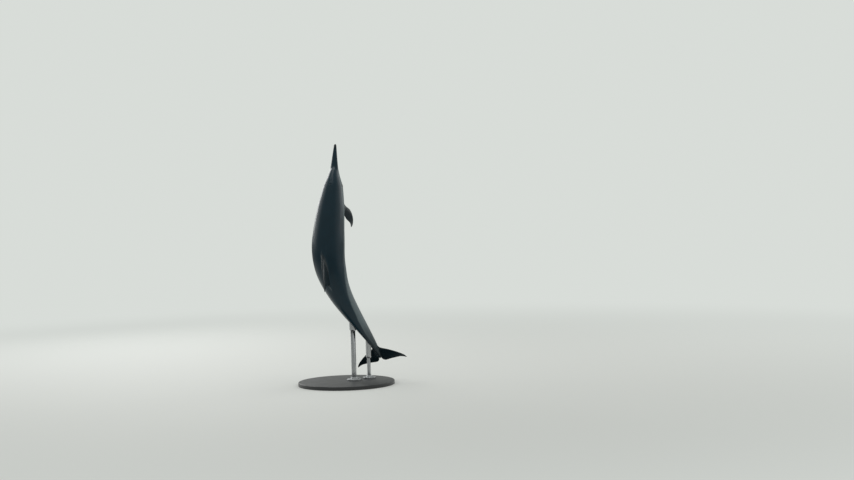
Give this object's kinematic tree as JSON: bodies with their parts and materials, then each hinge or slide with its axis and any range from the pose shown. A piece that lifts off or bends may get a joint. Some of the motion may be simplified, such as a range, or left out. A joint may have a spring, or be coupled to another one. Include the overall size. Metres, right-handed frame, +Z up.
{
  "type": "spinner dolphin",
  "caption": "Life-size spinner dolphin leaping upright, body bent at the tail, held on a plain round display stand by two upright rods.",
  "frame": {"origin": "middle of the underside of the round stand base", "axes": "+Z up toward the beak tip, -Y toward the dolphin's back, +X toward its right side"},
  "size_m": [0.8143, 0.7671, 1.8965],
  "materials": {
    "skin": "smooth wet skin, dark slate back, grey sides and pale belly",
    "eye": "dark brown, clear and glossy",
    "steel": "brushed stainless steel",
    "base_lacquer": "charcoal satin lacquer on board"
  },
  "bodies": {
    "root": {"upper_beak": "skin", "lower_jaw": "skin", "head": "skin", "blowhole": "skin", "chest": "skin", "abdomen": "skin", "tail_stock": "skin", "peduncle": "skin", "dorsal_fin": "skin", "flipper_right": "skin", "flipper_left": "skin", "fluke_right": "skin", "fluke_left": "skin", "eye_right": "eye", "eye_left": "eye", "stand_base": "base_lacquer", "stand_rod_front": "steel", "stand_rod_rear": "steel", "stand_sleeve_front": "steel", "stand_sleeve_rear": "steel", "stand_flange_front": "steel", "stand_flange_rear": "steel", "stand_screw_front_1": "steel", "stand_screw_front_2": "steel", "stand_screw_front_3": "steel", "stand_screw_front_4": "steel", "stand_screw_rear_1": "steel", "stand_screw_rear_2": "steel", "stand_screw_rear_3": "steel", "stand_screw_rear_4": "steel"}
  },
  "joints": []
}
